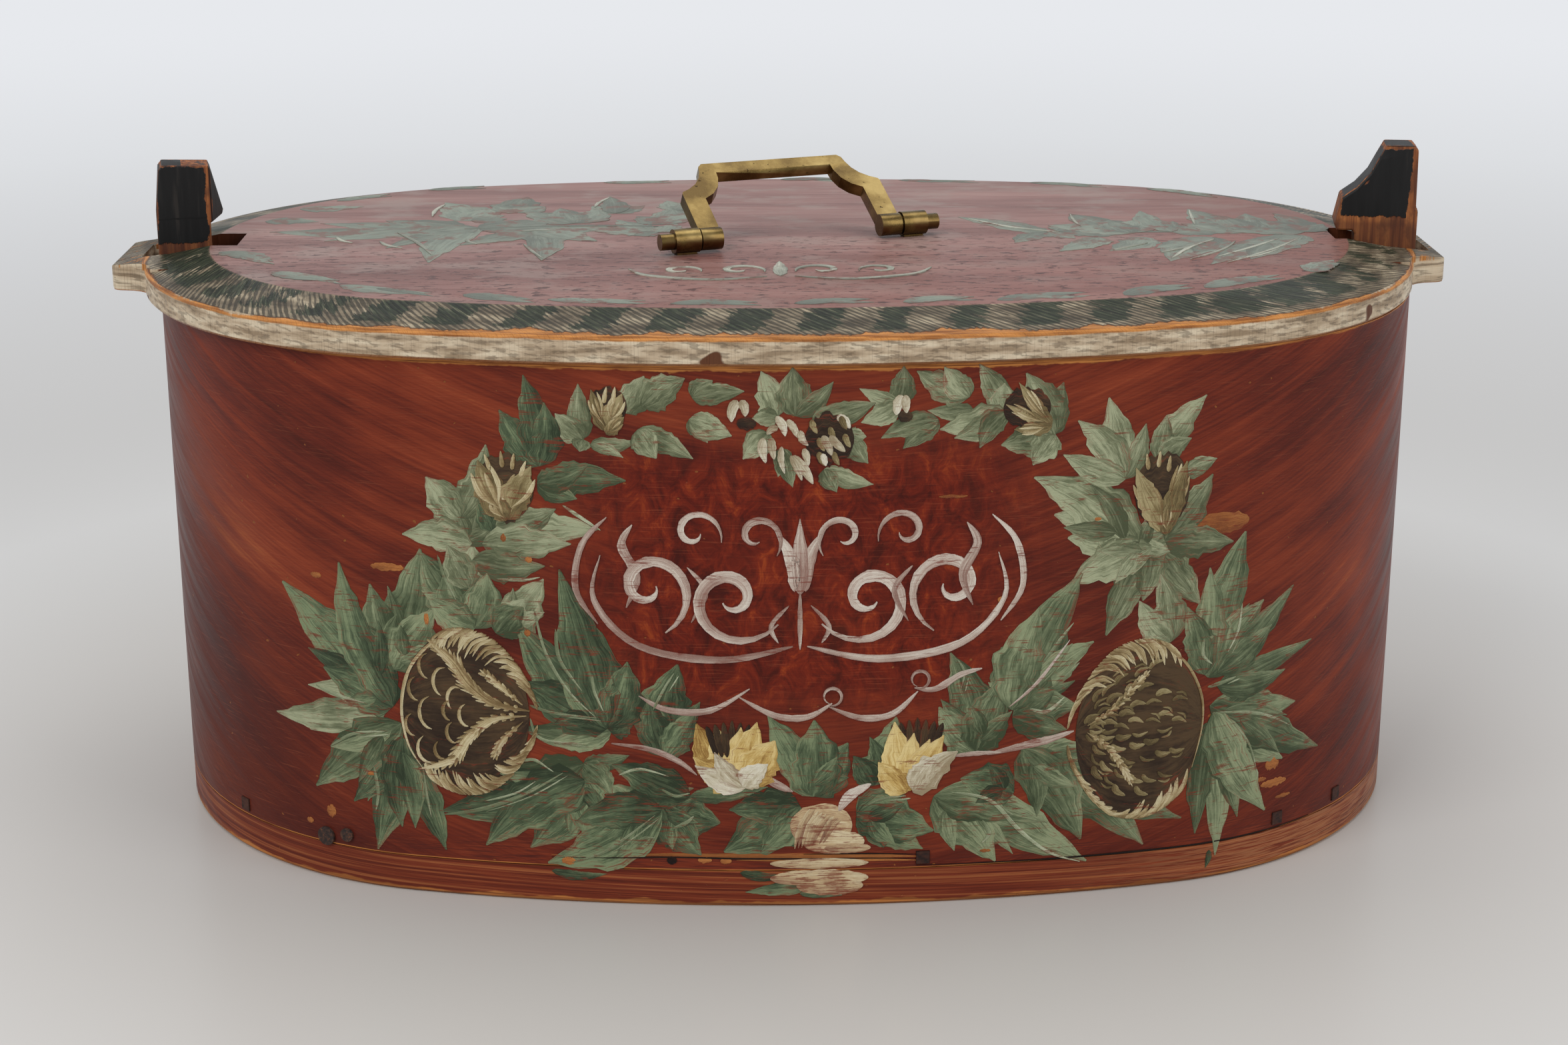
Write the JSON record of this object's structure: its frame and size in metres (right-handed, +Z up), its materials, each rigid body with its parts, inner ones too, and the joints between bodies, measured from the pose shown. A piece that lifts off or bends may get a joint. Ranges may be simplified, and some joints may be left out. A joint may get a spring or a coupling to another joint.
{
  "type": "bentwood box",
  "caption": "Oval box of bent wood with a laced side, a pegged bottom, a lid with slotted ears held between hooked posts, and a swinging brass bail.",
  "frame": {"origin": "middle of the side's oval, on the underside of the bottom board", "axes": "+X along the length to the right, +Y to the back, +Z up"},
  "size_m": [0.403, 0.2357, 0.199],
  "materials": {
    "side_paint": "painted and varnished, worn",
    "root_lace": "bare root",
    "bottom_wood": "bare, worn",
    "peg_wood": "bare, darkened",
    "iron": "rusted",
    "post_paint": "black paint worn to bare wood at the edges",
    "lid_paint": "painted, worn",
    "brass": "aged, polished by hands"
  },
  "bodies": {
    "box": {"side_band": "side_paint", "seam_lacing_left": "root_lace", "seam_lacing_right": "root_lace", "bottom_board": "bottom_wood", "bottom_pegs": "peg_wood", "bottom_nails": "iron", "post_peg_left": "peg_wood", "post_peg_right": "peg_wood"},
    "lid": {"lid_board": "lid_paint", "handle_eye_left": "brass", "handle_eye_right": "brass"},
    "handle": {"bail_handle": "brass"},
    "left_post": {"post_left": "post_paint"},
    "right_post": {"post_right": "post_paint"}
  },
  "joints": [
    {"name": "lid_lift", "type": "slide", "parent": "box", "child": "lid", "axis": [0, 0, 1], "range_m": [0, 0.07]},
    {"name": "handle_swing", "type": "hinge", "parent": "lid", "child": "handle", "pos_m": [0.0039, -0.0124, 0.17496], "axis": [0.9379, 0.3469, 0], "range_deg": [-32, 150]},
    {"name": "post_left_flex", "type": "hinge", "parent": "box", "child": "left_post", "pos_m": [-0.18058, 0.00073, 0.0314], "axis": [-0.2079, 0.9781, 0], "range_deg": [-0.8, 2.2], "stiffness_Nm_per_rad": 6},
    {"name": "post_right_flex", "type": "hinge", "parent": "box", "child": "right_post", "pos_m": [0.18053, 0.00049, 0.0314], "axis": [0.1392, 0.9903, 0], "range_deg": [-2.2, 0.8], "stiffness_Nm_per_rad": 6}
  ]
}
